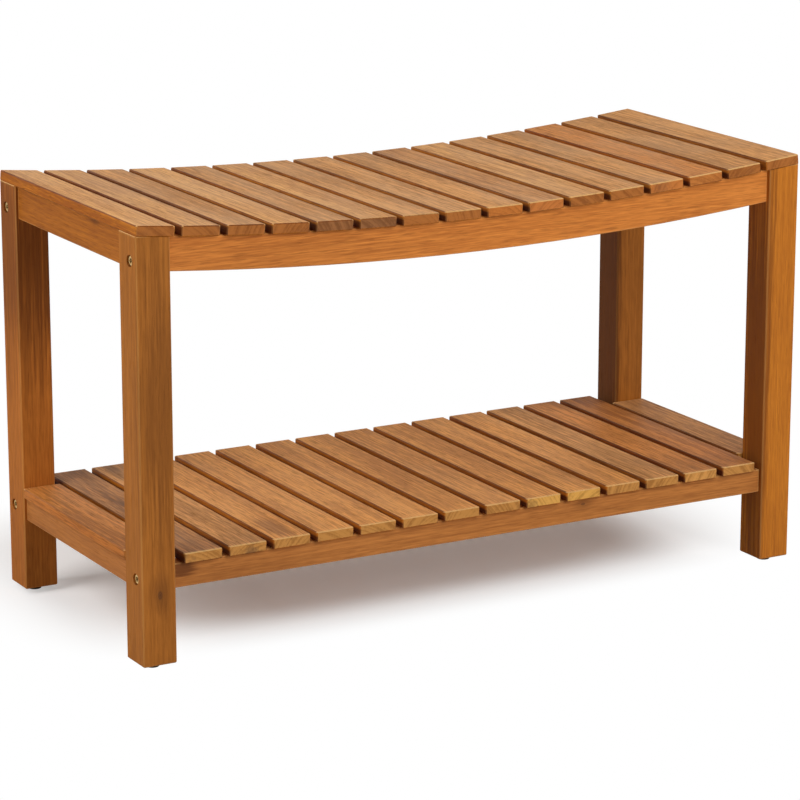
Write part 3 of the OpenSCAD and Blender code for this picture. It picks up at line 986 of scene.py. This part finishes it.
def turned_metal(name, bright, dull, grime_and_shade_inside, roughness, metallic):
    """Metal with turning rings and tarnish, and dirt and painted shade inside a radius in mm."""
    material, tree = new_material(name)
    made_at = add_node(tree, "ShaderNodeAttribute", attribute_name="made_at").outputs["Vector"]
    flat = vectors(tree, "MULTIPLY", made_at, (1.0, 1.0, 0.0))
    out = vectors(tree, "LENGTH", flat)
    round_axis = vector_from(tree, out, 0.0, parts(tree, made_at)[2])
    rings = noise(tree, round_axis, turning_marks)
    tarnish = noise(tree, made_at, tarnish_spots, detail=3.0, roughness=0.6)
    colour = blend(tree, ramp(tree, tarnish, 0.38, 0.68), paint(*bright), paint(*dull))
    # dirt and painted shade in the socket and at the root of the thread
    grime_and_shade = ramp(tree, out, (grime_and_shade_inside - grime_and_shade_edge) * mm, grime_and_shade_inside * mm, 1.0, 0.0)
    colour = blend(tree, times(tree, grime_and_shade, 0.85), colour, grime_and_shade_brown)
    dullness = weigh(tree, roughness - 0.1, (tarnish, 0.22), (grime_and_shade, 0.3))
    cover(tree, colour, dullness, relief(tree, rings, strength=0.25, distance=0.00004),
          metallic=metallic)
    return material


yellow_coat = turned_metal("yellow_passivated_steel", (244, 212, 146), (214, 176, 108),
                           grime_and_shade_inside=2.75, roughness=0.40, metallic=0.45)
zinc_coat = turned_metal("zinc_plated_steel", (202, 204, 208), (150, 152, 158),
                         grime_and_shade_inside=1.5, roughness=0.36, metallic=1.0)
print("metals", yellow_coat.name, zinc_coat.name)

# %% [markdown]
# ## Frame bolts
#
# The long rails are held by bolts whose heads sit in counterbores on the ends of the
# bench. A head is a small cylinder with eased rims and a hexagon socket. The socket is cut
# with a six-sided cylinder, because six flat walls can't be turned. The thread is a ridge of
# three corners, wound up the shank.

# %% Model a frame bolt
bolt_head = 6
socket_radius = 2.887
socket_cutter = 4
thread_pitch = 1.0

bolt_body = turn_round(outline("bolt_body", [
    (0, -bolt_head), (4.2, -bolt_head), (4.75, -5.8), (5, -5.3), (5, -0.3), (4.8, 0),
    (3, 0), (3, 13), (2.6, 13.6), (2.6, 54.4), (2.1, 55), (0, 55),
]), steps=48)
bolt_thread = turn_round(outline("bolt_thread", [
    (2.55, 13.8), (2.98, 14.2), (2.55, 14.6),
], closed=True), steps=16, turns=39, rise=thread_pitch)
carve(bolt_body, bpy.ops.mesh.primitive_cylinder_add, vertices=6, radius=socket_radius * mm,
      depth=socket_cutter * mm, location=(0, 0, -5 * mm))
bolt = finish_model("frame_bolt", [bolt_body, bolt_thread])


def into_the_post(low, high):
    """A bolt enters from the end of the bench and points to its middle."""
    from_left = high.x < 0
    seat_x = low.x + bolt_head * mm if from_left else high.x - bolt_head * mm
    turn = math.pi / 2 if from_left else -math.pi / 2
    return (seat_x, (low.y + high.y) / 2, (low.z + high.z) / 2), (0, turn, 0)


put_in_place(bolt, "frame_bolts", yellow_coat, into_the_post)
throw_away(bolt)

# %% [markdown]
# ## Barrel nuts
#
# Each bolt ends in a barrel nut, a short pin with a cross hole, let into the rail from the
# hidden inner face. A slot in its end lets a screwdriver turn the hole towards the bolt.

# %% Model a barrel nut
cross_hole_radius = 3.1
cross_hole_cutter = 14
nut_end = 6

barrel = turn_round(outline("barrel", [
    (0, -nut_end), (4.4, -nut_end), (5, -5.4), (5, 5.4), (4.4, nut_end), (0, nut_end),
]), steps=48)
carve(barrel, bpy.ops.mesh.primitive_cylinder_add, vertices=32, radius=cross_hole_radius * mm,
      depth=cross_hole_cutter * mm, rotation=(0, math.pi / 2, 0))
carve(barrel, bpy.ops.mesh.primitive_cube_add, size=mm, location=(0, 0, nut_end * mm),
      scale=(14, 1.2, 2.8))
barrel = finish_model("barrel_nut", [barrel])


def slot_inwards(low, high):
    """A barrel nut lies across its rail, with its slot towards the middle of the bench."""
    turn = -math.pi / 2 if high.y < 0 else math.pi / 2
    return (low + high) / 2, (turn, 0, 0)


put_in_place(barrel, "barrel_nuts", yellow_coat, slot_inwards)
throw_away(barrel)

# %% [markdown]
# ## Screws
#
# The slats are held from below, so no screw shows on top. A wood screw has a low round
# head with a cross recess, a plain neck, and a coarse thread that runs out in a sharp point.
# The thread is wound at full width first, and its tip is then drawn in, ring by ring, until
# it follows the point.

# %% Model the wood screws
def squeeze(share):
    """Draw the selected points of the active piece towards the Z axis."""
    bpy.ops.object.mode_set(mode="EDIT")
    bpy.ops.transform.resize(value=(share, share, 1), center_override=(0, 0, 0))
    bpy.ops.object.mode_set(mode="OBJECT")


def draw_in_tip(ridge, start, end, rings=12):
    """Narrow everything above the start, a little more at each ring."""
    select_only(ridge)
    for ring in range(rings):
        above = (start + (end - start) * ring / rings) * mm
        for corner in ridge.data.vertices:
            corner.select = corner.co.z > above
        squeeze((rings - ring - 0.5) / (rings - ring + 0.5))


def wood_screw(name, width, length, head_width, head_height):
    """A wood screw with a cross recess, all sizes in millimetres."""
    neck = width / 2
    core = 0.66 * neck
    rim = head_width / 2
    neck_end = 0.3 * length
    point_from = length - 1.2 * width
    body = turn_round(outline(name + "_body", [
        (0, -head_height), (0.62 * rim, -0.98 * head_height), (0.86 * rim, -0.84 * head_height),
        (0.97 * rim, -0.56 * head_height), (rim, -0.3 * head_height),
        (0.99 * rim, -0.06 * head_height), (0.95 * rim, 0), (neck, 0), (neck, neck_end),
        (core, neck_end + 0.6), (core, point_from), (0, length),
    ]), steps=32)
    pitch = 0.45 * width
    turns = int((length - neck_end - 1.0) / pitch)
    start = neck_end + 0.2
    ridge = turn_round(outline(name + "_ridge", [
        (0.9 * core, start), (neck, start + pitch / 3), (0.9 * core, start + pitch / 1.5),
    ], closed=True), steps=12, turns=turns, rise=pitch)
    draw_in_tip(ridge, point_from, length)
    for turn in (0, math.pi / 2):
        carve(body, bpy.ops.mesh.primitive_cube_add, size=mm, rotation=(0, 0, turn),
              location=(0, 0, -0.95 * head_height * mm),
              scale=(head_width * 0.5, head_width * 0.13, head_height * 1.1))
    return finish_model(name, [body, ridge])


slat_screw = wood_screw("slat_screw", width=4, length=30, head_width=8, head_height=2.4)
put_in_place(slat_screw, "seat_slat_screws", zinc_coat, upright(2.4))
put_in_place(slat_screw, "shelf_slat_screws", zinc_coat, upright(2.4))
throw_away(slat_screw)
foot_screw = wood_screw("foot_screw", width=3.5, length=18, head_width=7, head_height=2)
put_in_place(foot_screw, "foot_screws", zinc_coat, upright(2.0))
throw_away(foot_screw)

# %% [markdown]
# ## Dowels
#
# A dowel is a pressed pin of pale beech with eased ends. Twelve shallow grooves run along
# it, so that glue and air can escape when it is driven in. The grooves are made by pulling
# every third column of points towards the axis.

# %% Model a dowel
pin_columns = 36
skin_from = 3.9
groove_share = 0.92

dowel = turn_round(outline("dowel_pin", [
    (0, -15), (3, -15), (3.4, -14.8), (4, -14), (4, 14), (3.4, 14.8), (3, 15), (0, 15),
]), steps=pin_columns)
for corner in dowel.data.vertices:
    column = round(math.atan2(corner.co.y, corner.co.x) / (2 * math.pi) * pin_columns)
    corner.select = column % 3 == 0 and corner.co.xy.length > skin_from * mm
squeeze(groove_share)
dowel = finish_model("fluted_dowel", [dowel])


def pressed_beech():
    """Pale wood with short flecks along the pin."""
    material, tree = new_material("pressed_beech")
    made_at = add_node(tree, "ShaderNodeAttribute", attribute_name="made_at").outputs["Vector"]
    fibres = noise(tree, made_at, (1400.0, 1400.0, 90.0), detail=3.0, roughness=0.6)
    flecks = ramp(tree, noise(tree, made_at, (2200.0, 2200.0, 420.0), detail=1.0), 0.60, 0.70)
    colour = blend(tree, ramp(tree, fibres, 0.3, 0.7), paint(206, 168, 116), paint(230, 198, 150))
    colour = blend(tree, times(tree, flecks, 0.5), colour, paint(150, 104, 62))
    cover(tree, colour, weigh(tree, 0.55, (fibres, 0.2)),
          relief(tree, fibres, strength=0.3, distance=0.0001), specular=0.2)
    return material


def along_its_length(low, high):
    """A dowel lies along the longer side of its box."""
    size = high - low
    turn = (0, math.pi / 2, 0) if size.x > size.y else (math.pi / 2, 0, 0)
    return (low + high) / 2, turn


put_in_place(dowel, "dowels", pressed_beech(), along_its_length)
throw_away(dowel)

# %% [markdown]
# ## Feet
#
# A black rubber pad under each post keeps the end grain out of the water. It is moulded:
# wider at the top, with eased rims, two grip rings underneath and a recess for its screw.
# Here the outline is a closed loop, because the pad has a hole through it.

# %% Model a foot
pad = turn_round(outline("pad", [
    (1.85, 3), (4, 3), (4, 0.3), (4.2, 0), (4.9, 0), (5.1, 0.5), (5.5, 0.5), (5.7, 0),
    (6.2, 0), (6.4, 0.5), (6.7, 0.5), (6.85, 0.1), (7.1, 0.3), (7.95, 5.5), (7.7, 6), (1.85, 6),
], closed=True), steps=48)
pad = finish_model("foot_pad", [pad])


def black_rubber():
    """Moulded rubber: almost black, matt, with a fine grain and some pale dust."""
    material, tree = new_material("black_rubber")
    here = add_node(tree, "ShaderNodeTexCoord").outputs["Object"]
    grain = noise(tree, here, (2600.0, 2600.0, 2600.0))
    dust = noise(tree, here, (260.0, 260.0, 260.0), detail=3.0, roughness=0.6)
    colour = blend(tree, ramp(tree, dust, 0.45, 0.75), paint(30, 29, 28), paint(62, 58, 54))
    cover(tree, colour, weigh(tree, 0.6, (dust, 0.25)),
          relief(tree, grain, strength=0.5, distance=0.00012), specular=0.3)
    return material


rubber = black_rubber()
for corner_name in ("front_left", "front_right", "rear_left", "rear_right"):
    put_in_place(pad, "foot_" + corner_name, rubber, upright(0.0))
throw_away(pad)

# %% [markdown]
